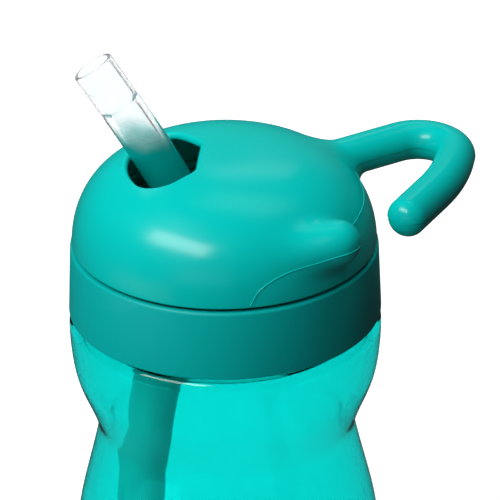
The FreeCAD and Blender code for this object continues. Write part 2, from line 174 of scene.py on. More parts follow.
def tab_level(points):
    along = TAB_TIP - TAB_ROOT
    share = np.clip((points - TAB_ROOT) @ along / (along @ along), 0, 1)
    nearest = TAB_ROOT + share[..., None] * along
    radius = TAB_ROOT_RADIUS + share * (TAB_TIP_RADIUS - TAB_ROOT_RADIUS)
    return np.linalg.norm(points - nearest, axis=-1) - radius


def cap_level(points):
    """Signed distance from the dome and tab together, with the fillet between them."""
    dome, tab = dome_level(points), tab_level(points)
    blend = np.maximum(TAB_FILLET - np.abs(dome - tab), 0) / TAB_FILLET
    return np.minimum(dome, tab) - blend**3 * TAB_FILLET / 6


def slide_out(points):
    """Moves points of the dome along rays from the tab's root until they meet the blended skin."""
    rays = unit(points - TAB_ROOT)
    near = np.linalg.norm(points - TAB_ROOT, axis=-1)
    far = near + 26 * MM
    near = near - 0.5 * MM
    for _ in range(40):
        middle = (near + far) / 2
        inside = cap_level(TAB_ROOT + rays * middle[..., None]) < 0
        near = np.where(inside, middle, near)
        far = np.where(inside, far, middle)
    return TAB_ROOT + rays * near[..., None]


def slope_of(level, points, step=0.02 * MM):
    """The direction in which a distance grows fastest: the surface's outward direction."""
    moves = np.eye(3) * step
    parts = [level(points + m) - level(points - m) for m in moves]
    return unit(np.stack(parts, axis=-1))


# %% [markdown]
# The opening is a fan: a nearly straight side near the axis, two sides that spread, and a round far
# side. Its corners are arcs. Seen from above it is not quite even: the straight side is longer at the
# front, so each half of the outline is drawn with its own corner.

# %% The opening's outline
INNER_MIDDLE = (5.9, -1.9)
BACK_CORNER = (5.2, 5.0)
FRONT_CORNER = (6.5, -9.0)
BACK_SPREAD = 51.0
FRONT_SPREAD = 39.0
BACK_ROUND = 1.8
FRONT_ROUND = 4.5
OPENING_OUTER = 22.8
OUTER_ROUND = 6.5


def arc_points(centre, radius, start, end, count):
    a = np.radians(np.linspace(start, end, count))
    return np.stack([centre[0] + radius * np.cos(a), centre[1] + radius * np.sin(a)], axis=-1)


def half_fan(corner, spread, inner_round, flip):
    """From the middle of the inner side, round two corners, to the middle of the far side."""
    middle, corner = np.array(INNER_MIDDLE) * [1, flip], np.array(corner) * [1, flip]
    first = unit(corner - middle)
    start_angle = math.degrees(math.atan2(-first[0], first[1])) + 180
    side = np.array([math.cos(math.radians(spread)), math.sin(math.radians(spread))])
    inward = np.array([side[1], -side[0]])
    turn = math.radians(start_angle - 90 - spread)
    inner_centre = corner - first * inner_round * math.tan(turn / 2)
    inner_centre = inner_centre + np.array([first[1], -first[0]]) * inner_round
    start = corner + inward * OUTER_ROUND
    reach = OPENING_OUTER - OUTER_ROUND
    along = -start @ side + math.sqrt((start @ side) ** 2 - start @ start + reach**2)
    outer_centre = start + side * along
    meet = math.degrees(math.atan2(outer_centre[1], outer_centre[0]))
    half = np.concatenate([
        [middle],
        arc_points(inner_centre, inner_round, start_angle, 90 + spread, 16),
        arc_points(outer_centre, OUTER_ROUND, 90 + spread, meet, 40),
        arc_points((0, 0), OPENING_OUTER, meet, 0, 40)[1:],
    ])
    return half * [-1, flip]


def fan_outline(count=320):
    """Even points round the fan, from the middle of its inner side."""
    back_half = half_fan(BACK_CORNER, BACK_SPREAD, BACK_ROUND, 1)
    front_half = half_fan(FRONT_CORNER, FRONT_SPREAD, FRONT_ROUND, -1)
    whole = np.concatenate([back_half, front_half[-2::-1]]) * MM
    length = np.concatenate([[0], np.cumsum(np.linalg.norm(np.diff(whole, axis=0), axis=1))])
    even = np.linspace(0, length[-1], count, endpoint=False)
    return np.stack([np.interp(even, length, whole[:, i]) for i in (0, 1)], axis=-1)


outline = fan_outline()
print("opening:", (outline.max(0) - outline.min(0)) / MM, "mm across")

# %% [markdown]
# The skin of the cap is made of rings. They start on the opening's rounded rim, spread over the
# outside to the lower edge, turn under it and come back on the inside. Each ring has one point for
# each point of the fan, so the rings close into one watertight shell with the hole already in it.

# %% The cap's skin
OUTER_RINGS = 120
INNER_RINGS = 40
RIM_ROUND = 1.0 * MM
FOOT_ROUND = 0.45 * MM
OPENING_CENTRE = np.array([-14.0 * MM, 0.0])

fan_map = onto_map(outline[:, 0], outline[:, 1])
map_centre = onto_map(OPENING_CENTRE[0], OPENING_CENTRE[1])
away = fan_map - map_centre
away_unit = unit(away)
half_b = away_unit @ map_centre
to_edge = -half_b + np.sqrt(half_b**2 - map_centre @ map_centre + 1)
edge_map = map_centre + away_unit * to_edge[:, None]


def rounded(start, end, count):
    """Evenly turned shares of a quarter circle: how far along and how far down."""
    a = np.radians(np.linspace(start, end, count))
    return [(1 - math.sin(x), 1 - math.cos(x)) for x in a]


def skin_ring(share, depth=0.0):
    """A ring at a share of the way from the opening to the lower edge, sunk below the skin."""
    flat = fan_map + (edge_map - fan_map) * share[:, None]
    points = on_dome(flat)
    return points - dome_normal(points) * depth


gap_map = np.linalg.norm(edge_map - fan_map, axis=1)
rings = []
for along, down in rounded(90, 0, 8):
    rings.append(skin_ring(RIM_ROUND * along / (DOME_LENGTH * gap_map), RIM_ROUND * down))
rim_share = RIM_ROUND / (DOME_LENGTH * gap_map)
foot_share = 1 - FOOT_ROUND / (DOME_LENGTH * gap_map)
for step in np.linspace(0, 1, OUTER_RINGS + 1)[1:]:
    rings.append(skin_ring(rim_share + (foot_share - rim_share) * step))
widest_step = float(gap_map.max() * DOME_LENGTH / OUTER_RINGS)
print("the widest step between rings is", round(widest_step / MM, 2), "mm")

swollen = [cap_level(ring) < dome_level(ring) - 1e-7 for ring in rings]
rings = [np.where(near_tab[:, None], slide_out(ring), ring) for near_tab, ring in zip(swollen, rings)]

for along, down in rounded(0, 90, 6)[::-1]:
    share = 1 - FOOT_ROUND * down / (DOME_LENGTH * gap_map)
    rings.append(skin_ring(share, FOOT_ROUND * along))
for step in np.linspace(1, 0, INNER_RINGS + 1):
    rings.append(skin_ring(0.3 * rim_share + (1 - 0.3 * rim_share) * step, SHELL))
rings.append(skin_ring(0 * rim_share, SHELL - 0.3 * MM))

count = len(outline)
cap_skin = make_object("cap_skin", np.concatenate(rings), ring_faces(len(rings), count, closed=True))
print("cap skin:", len(cap_skin.data.polygons), "faces")

# %% [markdown]
# The hook is a round bar. Its middle line is a straight leg out of the dome, a tight bend, a slow
# sweep and a short straight tip. The bar is swept along that line and its root flares out onto the
# dome. A mould's two halves meet half way up it, so the lower half is a hair thinner.

# %% The hook's middle line
hook_low, hook_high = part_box("carry_hook")
HOOK_RADIUS = (hook_high.z - hook_low.z) / 2
HOOK_Z = (hook_high.z + hook_low.z) / 2
BEND_CENTRE = np.array([46.2 * MM, 18.0 * MM])
BEND_RADIUS = 8.8 * MM
LEG_HEADING = 31.6
BEND_END = -98.0
SWEEP_RADIUS = 55.0 * MM
TIP_HEADING = -118.0
TIP_LEG = 14.0 * MM


def heading(degrees):
    a = np.radians(degrees)
    return np.stack([np.cos(a), np.sin(a)], axis=-1)


def left_of(degrees):
    a = np.radians(degrees)
    return np.stack([-np.sin(a), np.cos(a)], axis=-1)


def hook_line():
    """Points of the middle line from above, with the heading at each."""
    bend = np.linspace(LEG_HEADING, BEND_END, 60)
    sweep = np.linspace(BEND_END, TIP_HEADING, 30)[1:]
    bend_points = BEND_CENTRE + left_of(bend) * BEND_RADIUS
    sweep_centre = bend_points[-1] - left_of(BEND_END) * SWEEP_RADIUS
    sweep_points = sweep_centre + left_of(sweep) * SWEEP_RADIUS
    tip = np.linspace(0, TIP_LEG, 12)[1:, None]
    tip_points = sweep_points[-1] + heading(TIP_HEADING) * tip
    points = np.concatenate([bend_points, sweep_points, tip_points])
    headings = np.concatenate([bend, sweep, np.full(len(tip), TIP_HEADING)])
    return points, headings


hook_points, hook_headings = hook_line()
print("hook line ends at", hook_points[-1] / MM)

# %% The hook's bar and its flared root
PART_STEP = 0.14 * MM
FLARE = 4.2 * MM


def bar_angles():
    """Angles round the bar, closer together where the mould's halves meet."""
    even = np.linspace(0, 360, 73)[:-1]
    close = [side + d for side in (0, 180, 360) for d in (-3.0, -1.6, -0.8, 0.8, 1.6, 3.0)]
    every = np.unique(np.concatenate([even, close]))
    return np.radians(every[(every >= 0) & (every < 360)])


angles = bar_angles()
lower_half = 1 / (1 + np.exp(np.sin(angles) * 90))


def bar_ring(place, degrees, radius):
    """A ring of the bar round a point of its middle line, square to its heading."""
    side, out = left_of(degrees), radius - PART_STEP * lower_half
    flat = place + side * (np.cos(angles) * out)[:, None]
    return np.column_stack([flat, HOOK_Z + np.sin(angles) * out])


def meet_dome(points, direction):
    """Slides points along a direction until they lie on the dome."""
    low, high = np.full(len(points), -30 * MM), np.full(len(points), 30 * MM)
    for _ in range(40):
        middle = (low + high) / 2
        inside = dome_level(points + direction * middle[:, None]) < 0
        low, high = np.where(inside, middle, low), np.where(inside, high, middle)
    return points + direction * low[:, None]


out_of_dome = np.append(heading(LEG_HEADING), 0)
leg_start = hook_points[0] - heading(LEG_HEADING) * 14 * MM
rings = []
for a in np.radians(np.linspace(90, 0, 22)):
    spread, rise = FLARE * (1 - math.cos(a)), FLARE * (1 - math.sin(a))
    foot = meet_dome(bar_ring(leg_start, LEG_HEADING, HOOK_RADIUS + spread), out_of_dome)
    rings.append(foot + out_of_dome * rise - dome_normal(foot) * 0.02 * MM)
for place, degrees in zip(hook_points, hook_headings):
    rings.append(bar_ring(place, degrees, HOOK_RADIUS))
for a in np.radians(np.linspace(0, 90, 16))[1:]:
    place = hook_points[-1] + heading(TIP_HEADING) * HOOK_RADIUS * math.sin(a) * 0.85
    rings.append(bar_ring(place, TIP_HEADING, max(HOOK_RADIUS * math.cos(a), PART_STEP + 1e-6)))
faces = ring_faces(len(rings), len(angles))
faces.append(tuple(range(len(angles))))
faces.append(tuple((len(rings) - 1) * len(angles) + i for i in range(len(angles))))
hook = make_object("hook_bar", np.concatenate(rings), faces)
print("hook:", len(hook.data.polygons), "faces")

# %% [markdown]
# Much of a bottle is turned: the body, the lid's band, the thread that runs round the neck. One small
# Geometry Nodes tree does all the turning. It takes a column of points, copies it round the axis by
# reading each point's place by its row, and merges the seam and the poles.

# %% A lathe in Geometry Nodes
def link(tree, source, target):
    tree.links.new(source, target)


def math_node(tree, operation, first, second):
    """A Math node whose inputs are sockets or plain numbers."""
    node = tree.nodes.new("ShaderNodeMath")
    node.operation = operation
    for socket, value in zip(node.inputs, (first, second)):
        if isinstance(value, (int, float)):
            socket.default_value = value
        else:
            link(tree, value, socket)
    return node.outputs[0]


def new_tree(name, inputs):
    """An empty Geometry Nodes tree with geometry in and out and named inputs for its sizes."""
    tree = bpy.data.node_groups.new(name, "GeometryNodeTree")
    tree.interface.new_socket("Geometry", in_out="INPUT", socket_type="NodeSocketGeometry")
    for label, kind in inputs:
        tree.interface.new_socket(label, in_out="INPUT", socket_type=kind)
    tree.interface.new_socket("Geometry", in_out="OUTPUT", socket_type="NodeSocketGeometry")
    return tree, tree.nodes.new("NodeGroupInput"), tree.nodes.new("NodeGroupOutput")


def close_tree(tree, geometry, material, end):
    """Every tree ends alike: real geometry, smooth shading and a material."""
    real = tree.nodes.new("GeometryNodeRealizeInstances")
    smooth = tree.nodes.new("GeometryNodeSetShadeSmooth")
    paint = tree.nodes.new("GeometryNodeSetMaterial")
    link(tree, geometry, real.inputs["Geometry"])
    link(tree, real.outputs["Geometry"], smooth.inputs["Geometry"])
    link(tree, smooth.outputs["Geometry"], paint.inputs["Geometry"])
    link(tree, material, paint.inputs["Material"])
    link(tree, paint.outputs["Geometry"], end.inputs["Geometry"])


def lathe_tree():
    tree, start, end = new_tree("lathe", [("Segments", "NodeSocketInt"), ("Material", "NodeSocketMaterial")])
    size = tree.nodes.new("GeometryNodeAttributeDomainSize")
    grid = tree.nodes.new("GeometryNodeMeshGrid")
    index = tree.nodes.new("GeometryNodeInputIndex")
    place = tree.nodes.new("GeometryNodeInputPosition")
    sample = tree.nodes.new("GeometryNodeSampleIndex")
    sample.data_type = "FLOAT_VECTOR"
    rotate = tree.nodes.new("ShaderNodeVectorRotate")
    rotate.rotation_type = "Z_AXIS"
    move = tree.nodes.new("GeometryNodeSetPosition")
    merge = tree.nodes.new("GeometryNodeMergeByDistance")
    merge.inputs["Distance"].default_value = 1e-6
    rows = size.outputs["Point Count"]
    link(tree, start.outputs["Geometry"], size.inputs["Geometry"])
    link(tree, math_node(tree, "ADD", start.outputs["Segments"], 1.0), grid.inputs["Vertices X"])
    link(tree, rows, grid.inputs["Vertices Y"])
    row = math_node(tree, "MODULO", index.outputs[0], rows)
    column = math_node(tree, "FLOOR", math_node(tree, "DIVIDE", index.outputs[0], rows), 0.0)
    per_step = math_node(tree, "DIVIDE", math.tau, start.outputs["Segments"])
    link(tree, start.outputs["Geometry"], sample.inputs["Geometry"])
    link(tree, place.outputs[0], sample.inputs["Value"])
    link(tree, row, sample.inputs["Index"])
    link(tree, sample.outputs["Value"], rotate.inputs["Vector"])
    link(tree, math_node(tree, "MULTIPLY", column, per_step), rotate.inputs["Angle"])
    link(tree, grid.outputs["Mesh"], move.inputs["Geometry"])
    link(tree, rotate.outputs["Vector"], move.inputs["Position"])
    link(tree, move.outputs["Geometry"], merge.inputs["Geometry"])
    close_tree(tree, merge.outputs["Geometry"], start.outputs["Material"], end)
    return tree


def run_tree(name, tree, points, values, edges=()):
    """Runs a tree on a mesh of bare points or edges and keeps the result as a plain mesh."""
    base = bpy.data.meshes.new(name)
    base.from_pydata([tuple(p) for p in points], list(edges), [])
    thing = bpy.data.objects.new(name, base)
    bpy.context.scene.collection.objects.link(thing)
    modifier = thing.modifiers.new("made", "NODES")
    modifier.node_group = tree
    for item in tree.interface.items_tree:
        if item.in_out == "INPUT" and item.name in values:
            modifier[item.identifier] = values[item.name]
    bpy.context.view_layer.update()
    shown = thing.evaluated_get(bpy.context.evaluated_depsgraph_get())
    mesh = bpy.data.meshes.new_from_object(shown)
    thing.modifiers.clear()
    thing.data = mesh
    mesh.name = name
    work = bmesh.new()
    work.from_mesh(mesh)
    bmesh.ops.remove_doubles(work, verts=work.verts, dist=1e-6)
    bmesh.ops.recalc_face_normals(work, faces=work.faces)
    work.to_mesh(mesh)
    work.free()
    return thing


LATHE = lathe_tree()
print("lathe tree:", len(LATHE.nodes), "nodes")

# %% [markdown]
# A turned outline is drawn as a line of corners, and each corner may have a radius. Moulded plastic
# has no knife edges, and a rounded edge is also what catches the light.

# %% Rounded outlines
def round_corners(corners, steps=6):
    """Corners are (r, z) or (r, z, radius) in millimetres; returns places in metres."""
    corners = [tuple(c) + (0.0,) * (3 - len(c)) for c in corners]
    line = []
    for i, (r, z, radius) in enumerate(corners):
        here = np.array([r, z])
        if radius <= 0 or i in (0, len(corners) - 1):
            line.append(here)
            continue
        back = unit(np.array(corners[i - 1][:2]) - here)
        ahead = unit(np.array(corners[i + 1][:2]) - here)
        half = math.acos(max(-1.0, min(1.0, float(back @ ahead)))) / 2
        centre = here + unit(back + ahead) * radius / math.sin(half)
        first, last = here + back * radius / math.tan(half), here + ahead * radius / math.tan(half)
        start = math.atan2(*(first - centre)[::-1])
        swing = (math.atan2(*(last - centre)[::-1]) - start + math.pi) % math.tau - math.pi
        for share in np.linspace(0, 1, steps):
            a = start + swing * share
            line.append(centre + radius * np.array([math.cos(a), math.sin(a)]))
    return [(r * MM, 0.0, z * MM) for r, z in line]


def smooth_through(points, start, end, step=0.7):
    """Places along a smooth curve through (r, z) points, with set directions at its ends."""
    points = np.array(points, float)
    gaps = np.linalg.norm(np.diff(points, axis=0), axis=1)
    count = len(points)
    matrix, right = np.zeros((count, count)), np.zeros((count, 2))
    matrix[0, 0] = matrix[-1, -1] = 1
    right[0], right[-1] = unit(start), unit(end)
    for i in range(1, count - 1):
        matrix[i, i - 1:i + 2] = gaps[i], 2 * (gaps[i - 1] + gaps[i]), gaps[i - 1]
        before, after = (points[i] - points[i - 1]) / gaps[i - 1], (points[i + 1] - points[i]) / gaps[i]
        right[i] = 3 * (gaps[i] * before + gaps[i - 1] * after)
    slopes = np.linalg.solve(matrix, right)
    line = []
    for i, gap in enumerate(gaps):
        for t in np.linspace(0, 1, max(int(gap / step), 2), endpoint=False):
            a, b = points[i], points[i + 1]
            line.append(
                a * (1 + 2 * t) * (1 - t) ** 2 + slopes[i] * gap * t * (1 - t) ** 2
                + b * t * t * (3 - 2 * t) + slopes[i + 1] * gap * t * t * (t - 1)
            )
    line.append(points[-1])
    return np.array(line)


# %% [markdown]
# The bottle is one clear tinted shell: a waist for a small hand, a round shoulder under the lid, a
# neck, and a hollow underside inside a foot ring. Its wall is drawn once, and the inside is the same
# line moved inwards by the wall's thickness, so that light bends through it as through real plastic.

# %% The bottle's outline
BOTTLE_WALL = 2.0
SHOULDER_Z = 107.4
wall_points = [
    (35.0, 5.6), (36.5, 17), (37.3, 31), (37.1, 43.5), (35.2, 57.5), (32.9, 67),
    (31.25, 74), (30.8, 77.3), (31.45, 80.6), (33.2, 85.3), (35.4, 91), (36.6, 97.5),
    (37.0, 104.8),
]
wall = smooth_through(wall_points, (0.22, 1), (0, 1))
slopes = unit(np.gradient(wall, axis=0))
inner_wall = wall - np.stack([slopes[:, 1], -slopes[:, 0]], axis=-1) * BOTTLE_WALL


def as_places(line):
    return [(r * MM, 0.0, z * MM) for r, z in line]


def dish(radius, edge, top, count=24):
    """The round hollow under the bottle, from its edge to the axis."""
    r = np.linspace(edge, 0, count)
    return [(x, top - radius + math.sqrt(radius**2 - x * x)) for x in r]


DISH = (24.0**2 + 4.5**2) / 9.0
underside = as_places(dish(DISH, 24.0, 4.5)[::-1])
foot = round_corners([(24.0, 0), (30.0, 0, 3.0), (33.6, 1.4, 7.0), (35.0, 5.6)])
neck = round_corners([
    (37.0, 104.8), (37.0, SHOULDER_Z, 2.5), (31.0, SHOULDER_Z, 0.5), (31.0, 120.5, 0.6),
    (28.6, 120.5, 0.6), (28.6, SHOULDER_Z - BOTTLE_WALL, 1.2), (34.4, SHOULDER_Z - BOTTLE_WALL, 1.0),
    (35.0, 104.6),
])
floor_line = round_corners([(33.0, 6.6), (31.8, 2.6, 3.0), (25.0, 2.5, 3.0), (22.0, 3.4)])
floor_dish = as_places(dish(DISH + 2.4, 22.0, 6.9))
bottle_outline = (
    underside[:-1] + foot[1:-1] + as_places(wall) + neck[1:-1] + as_places(inner_wall[::-1])[1:-1]
    + floor_line[1:-1] + floor_dish
)
print("bottle outline:", len(bottle_outline), "points")

# %% [markdown]
# Plastic is never quite one flat colour. Each material here takes a base colour and lets slow noise shift
# it a little, gives the gloss patches of slightly different roughness, and adds a very fine bump like
# the skin of a moulding. All patterns read Object coordinates, so that they stay fixed to the piece.

# %% Material helper
def add(tree, kind, **settings):
    node = tree.nodes.new(kind)
    for name, value in settings.items():
        setattr(node, name, value)
    return node


def noise(tree, place, scale, detail=3.0, seed=0.0):
    """A noise pattern; scale is in waves per metre."""
    shift = add(tree, "ShaderNodeMapping")
    shift.inputs["Location"].default_value = (seed, seed * 0.7, -seed)
    node = add(tree, "ShaderNodeTexNoise")
    node.inputs["Scale"].default_value = scale
    node.inputs["Detail"].default_value = detail
    link(tree, place, shift.inputs["Vector"])
    link(tree, shift.outputs["Vector"], node.inputs["Vector"])
    return node.outputs["Fac"]


def spread(tree, value, low, high):
    """Maps noise onto a range."""
    node = add(tree, "ShaderNodeMapRange")
    node.inputs["From Min"].default_value = 0.3
    node.inputs["From Max"].default_value = 0.7
    node.inputs["To Min"].default_value = low
    node.inputs["To Max"].default_value = high
    link(tree, value, node.inputs["Value"])
    return node.outputs["Result"]


def shade(colour, factor):
    return tuple(min(1.0, c * factor) for c in colour) + (1.0,)


def plastic(name, colour, roughness, vary=0.06, grain=0.02, grain_scale=2600, **fixed):
    """A moulded material: colour drift, uneven gloss and a fine skin; fixed values go on the shader."""
    made = bpy.data.materials.new(name)
    made.use_nodes = True
    tree = made.node_tree
    shader = tree.nodes["Principled BSDF"]
    place = add(tree, "ShaderNodeTexCoord").outputs["Object"]
    mix = add(tree, "ShaderNodeMix", data_type="RGBA")
    mix.inputs["A"].default_value = shade(colour, 1 - vary)
    mix.inputs["B"].default_value = shade(colour, 1 + vary)
    link(tree, noise(tree, place, 38, 4.0), mix.inputs["Factor"])
    link(tree, mix.outputs["Result"], shader.inputs["Base Color"])
    low, high = roughness
    link(tree, spread(tree, noise(tree, place, 160, 4.0, 3.1), low, high), shader.inputs["Roughness"])
    fine = noise(tree, place, grain_scale, 2.0, 7.7)
    bump = add(tree, "ShaderNodeBump")
    bump.inputs["Strength"].default_value = 1.0
    bump.inputs["Distance"].default_value = grain * MM
    link(tree, fine, bump.inputs["Height"])
    link(tree, bump.outputs["Normal"], shader.inputs["Normal"])
    for label, value in fixed.items():
        shader.inputs[label.replace("_", " ")].default_value = value
    return made


# %% Materials
TEAL = (0.0, 0.60, 0.55)
cap_plastic = plastic("glossy_teal_cap", TEAL, (0.19, 0.26), grain=0.002, Specular_IOR_Level=0.4)
lid_plastic = plastic("satin_teal_lid", (0.0, 0.50, 0.47), (0.36, 0.46), grain=0.004, Specular_IOR_Level=0.3)
# The deck is teal plastic coloured darker than the lid: painted shade for the dark recess under the opening
# and the gap below the dome.
deck_plastic_painted_shade = plastic("teal_deck_painted_shade", (0.0, 0.22, 0.2), (0.35, 0.5), grain=0.004)
bottle_plastic = plastic(
    "clear_teal_bottle", (0.02, 0.90, 0.87), (0.015, 0.04), vary=0.02, grain=0.0015, grain_scale=500,
    Transmission_Weight=1.0, IOR=1.46,
)
# The tint also deepens with the length of plastic that the light goes through.
depth_tint = add(bottle_plastic.node_tree, "ShaderNodeVolumeAbsorption")
depth_tint.inputs["Color"].default_value = (0.0, 0.87, 0.86, 1.0)
depth_tint.inputs["Density"].default_value = 600
link(
    bottle_plastic.node_tree, depth_tint.outputs["Volume"],
    bottle_plastic.node_tree.nodes["Material Output"].inputs["Volume"],
)
straw_silicone = plastic(
    "clear_silicone", (0.93, 0.955, 0.965), (0.05, 0.10), vary=0.01, grain=0.002, grain_scale=900,
    Transmission_Weight=0.90, IOR=1.32,
)


def paint_teal_light_low(material, colour, bottom, top, clear):
    """Paints teal light, bounced in from the cap, on a clear material's lower part and clouds it; heights in
    metres.
    """
    tree = material.node_tree
    shader = tree.nodes["Principled BSDF"]
    split = add(tree, "ShaderNodeSeparateXYZ")
    place = add(tree, "ShaderNodeTexCoord").outputs["Object"]
    link(tree, place, split.inputs["Vector"])
    waves = add(tree, "ShaderNodeMath", operation="MULTIPLY_ADD")
    waves.inputs[1].default_value = 0.4 * (top - bottom)
    link(tree, noise(tree, place, 260, 2.0, 5.0), waves.inputs[0])
    link(tree, split.outputs["Z"], waves.inputs[2])
    low = add(tree, "ShaderNodeMapRange", interpolation_type="SMOOTHSTEP")
    low.inputs["From Min"].default_value = top
    low.inputs["From Max"].default_value = bottom
    link(tree, waves.outputs["Value"], low.inputs["Value"])
    mix = add(tree, "ShaderNodeMix", data_type="RGBA")
    mix.inputs["B"].default_value = (*colour, 1.0)
    link(tree, shader.inputs["Base Color"].links[0].from_socket, mix.inputs["A"])
    link(tree, low.outputs["Result"], mix.inputs["Factor"])
    link(tree, mix.outputs["Result"], shader.inputs["Base Color"])
    cloud = add(tree, "ShaderNodeMapRange")
    cloud.inputs["To Min"].default_value = clear
    cloud.inputs["To Max"].default_value = 0.45
    link(tree, low.outputs["Result"], cloud.inputs["Value"])
    link(tree, cloud.outputs["Result"], shader.inputs["Transmission Weight"])


# The straw's lower part gets painted teal light, standing for light from the teal cap around it.
paint_teal_light_low(straw_silicone, (0.0, 0.42, 0.39), 150.0 * MM, 156.5 * MM, 0.90)
seal_silicone = plastic(
    "milky_silicone", (0.75, 0.8, 0.8), (0.35, 0.5), vary=0.03, grain=0.006,
    Transmission_Weight=0.4, IOR=1.41,
)
tube_plastic = plastic("teal_tube", (0.0, 0.42, 0.39), (0.3, 0.42), grain=0.003, Specular_IOR_Level=0.3)
post_plastic = plastic("teal_post", (0.0, 0.62, 0.58), (0.3, 0.4), grain=0.003)
ring_rubber = plastic("dark_rubber", (0.012, 0.016, 0.016), (0.5, 0.7), grain=0.01)
print("materials:", [m.name for m in bpy.data.materials][:12])

# %% [markdown]
# The bottle is now turned on the lathe. Its thread is a second tree: a spiral, with a round section
# swept along it and half sunk in the neck.

# %% Turn the bottle and its thread
def dress(thing, material):
    thing.data.materials.clear()
    thing.data.materials.append(material)


bottle = run_tree("bottle_shell", LATHE, bottle_outline, {"Segments": 256, "Material": bottle_plastic})
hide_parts("bottle_body")
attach(bottle, "bottle")
dress(bottle, bottle_plastic)


def thread_tree():
    sizes = [(n, "NodeSocketFloat") for n in ("Turns", "Radius", "Rise", "Thickness", "Foot")]
    tree, start, end = new_tree("thread", [*sizes, ("Material", "NodeSocketMaterial")])
    spiral = tree.nodes.new("GeometryNodeCurveSpiral")
    spiral.inputs["Resolution"].default_value = 96
    section = tree.nodes.new("GeometryNodeCurvePrimitiveCircle")
    section.inputs["Resolution"].default_value = 14
    sweep = tree.nodes.new("GeometryNodeCurveToMesh")
    sweep.inputs["Fill Caps"].default_value = True
    lift = tree.nodes.new("GeometryNodeTransform")
    height = tree.nodes.new("ShaderNodeCombineXYZ")
    link(tree, start.outputs["Turns"], spiral.inputs["Rotations"])
    link(tree, start.outputs["Radius"], spiral.inputs["Start Radius"])
    link(tree, start.outputs["Radius"], spiral.inputs["End Radius"])
    link(tree, start.outputs["Rise"], spiral.inputs["Height"])
    link(tree, start.outputs["Thickness"], section.inputs["Radius"])
    link(tree, spiral.outputs["Curve"], sweep.inputs["Curve"])
    link(tree, section.outputs["Curve"], sweep.inputs["Profile Curve"])
    link(tree, start.outputs["Foot"], height.inputs["Z"])
    link(tree, sweep.outputs["Mesh"], lift.inputs["Geometry"])
    link(tree, height.outputs["Vector"], lift.inputs["Translation"])
    close_tree(tree, lift.outputs["Geometry"], start.outputs["Material"], end)
    return tree


THREAD_PITCH = 5.0 * MM
THREAD_TURNS = 1.5
neck_thread = run_tree("neck_thread", thread_tree(), [(0, 0, 0)], {
    "Turns": THREAD_TURNS, "Radius": 31.15 * MM, "Rise": THREAD_PITCH * THREAD_TURNS,
    "Thickness": 1.1 * MM, "Foot": 108.9 * MM, "Material": bottle_plastic,
})
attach(neck_thread, "bottle")
dress(neck_thread, bottle_plastic)
print("neck thread:", len(neck_thread.data.polygons), "faces")

# %% Turn the lid's band
band_low, band_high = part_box("collar_band")
top, low = band_high.z / MM, band_low.z / MM
band_outline = round_corners([
    (35.6, low + 1.0), (34.9, low + 1.0), (34.9, low, 0.3), (37.0, low, 0.4), (36.3, top, 0.8),
    (34.2, top, 0.5), (34.2, top - 1.2), (35.6, low + 1.0),
])
band = run_tree("lid_band", LATHE, band_outline, {"Segments": 256, "Material": lid_plastic})
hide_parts("collar_band")
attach(band, "lid")
dress(band, lid_plastic)

# %% [markdown]
# The cap's skin and hook now get their plastic and ride on the turning cap. The seam where the mould's
# halves met shows as a fine line over the dome, up to the tab and on to the hook.

# %% Dress the cap
for piece, stands_for in ((cap_skin, ("dome_shell", "thumb_tab")), (hook, ("carry_hook",))):
    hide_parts(*stands_for)
    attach(piece, "cap")
    dress(piece, cap_plastic)


def settle(points):
    """Moves places onto the blended skin of dome and tab, along its slope."""
    for _ in range(12):
        points = points - slope_of(cap_level, points) * cap_level(points)[:, None]
    return points


def through(points, steps=12):
    """A smooth run of places through a few given ones."""
    points = np.array(points, float)
    padded = np.concatenate([2 * points[:1] - points[1:2], points, 2 * points[-1:] - points[-2:-1]])
    line = []
    for i in range(len(points) - 1):
        a, b, c, d = padded[i:i + 4]
        for t in np.linspace(0, 1, steps, endpoint=False):
            line.append(0.5 * (2 * b + (c - a) * t + (2 * a - 5 * b + 4 * c - d) * t**2
                               + (3 * b - a - 3 * c + d) * t**3))
    return np.array([*line, points[-1]])


def bead_tree():
    """A fine bead along the edges it is given."""
    tree, start, end = new_tree("bead", [("Width", "NodeSocketFloat"), ("Material", "NodeSocketMaterial")])
    curve = tree.nodes.new("GeometryNodeMeshToCurve")
    section = tree.nodes.new("GeometryNodeCurvePrimitiveCircle")
    section.inputs["Resolution"].default_value = 8
    sweep = tree.nodes.new("GeometryNodeCurveToMesh")
    sweep.inputs["Fill Caps"].default_value = True
    link(tree, start.outputs["Geometry"], curve.inputs["Mesh"])
    link(tree, start.outputs["Width"], section.inputs["Radius"])
    link(tree, curve.outputs["Curve"], sweep.inputs["Curve"])
    link(tree, section.outputs["Curve"], sweep.inputs["Profile Curve"])
    close_tree(tree, sweep.outputs["Mesh"], start.outputs["Material"], end)
    return tree


BEAD = bead_tree()
# Places on the cap in millimetres, with heights above its lower edge.
seam_routes = {
    "seam_to_tab": [
        (5.9, -35.3, 0.6), (8.4, -34.4, 4.4), (13.7, -32.0, 6.9), (20.7, -29.6, 8.2),
        (27.5, -29.0, 9.9), (31.6, -25.6, 10.6),
    ],
    "seam_to_hook": [
        (31.6, -21.4, 10.6), (29.0, -17.0, 10.4), (30.6, -12.0, 10.6), (32.7, -3.4, 11.3),
        (32.0, 4.0, 11.9), (30.6, 9.5, 12.0),
    ],
}
SEAM_WIDTH = 0.16 * MM
for name, route in seam_routes.items():
    line = settle(through(np.array(route) * MM + [0, 0, CAP_BASE]))
    edges = [(i, i + 1) for i in range(len(line) - 1)]
    bead = run_tree(name, BEAD, line, {"Width": SEAM_WIDTH, "Material": cap_plastic}, edges)
    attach(bead, "cap")
    dress(bead, cap_plastic)
    print(name, len(bead.data.polygons), "faces")
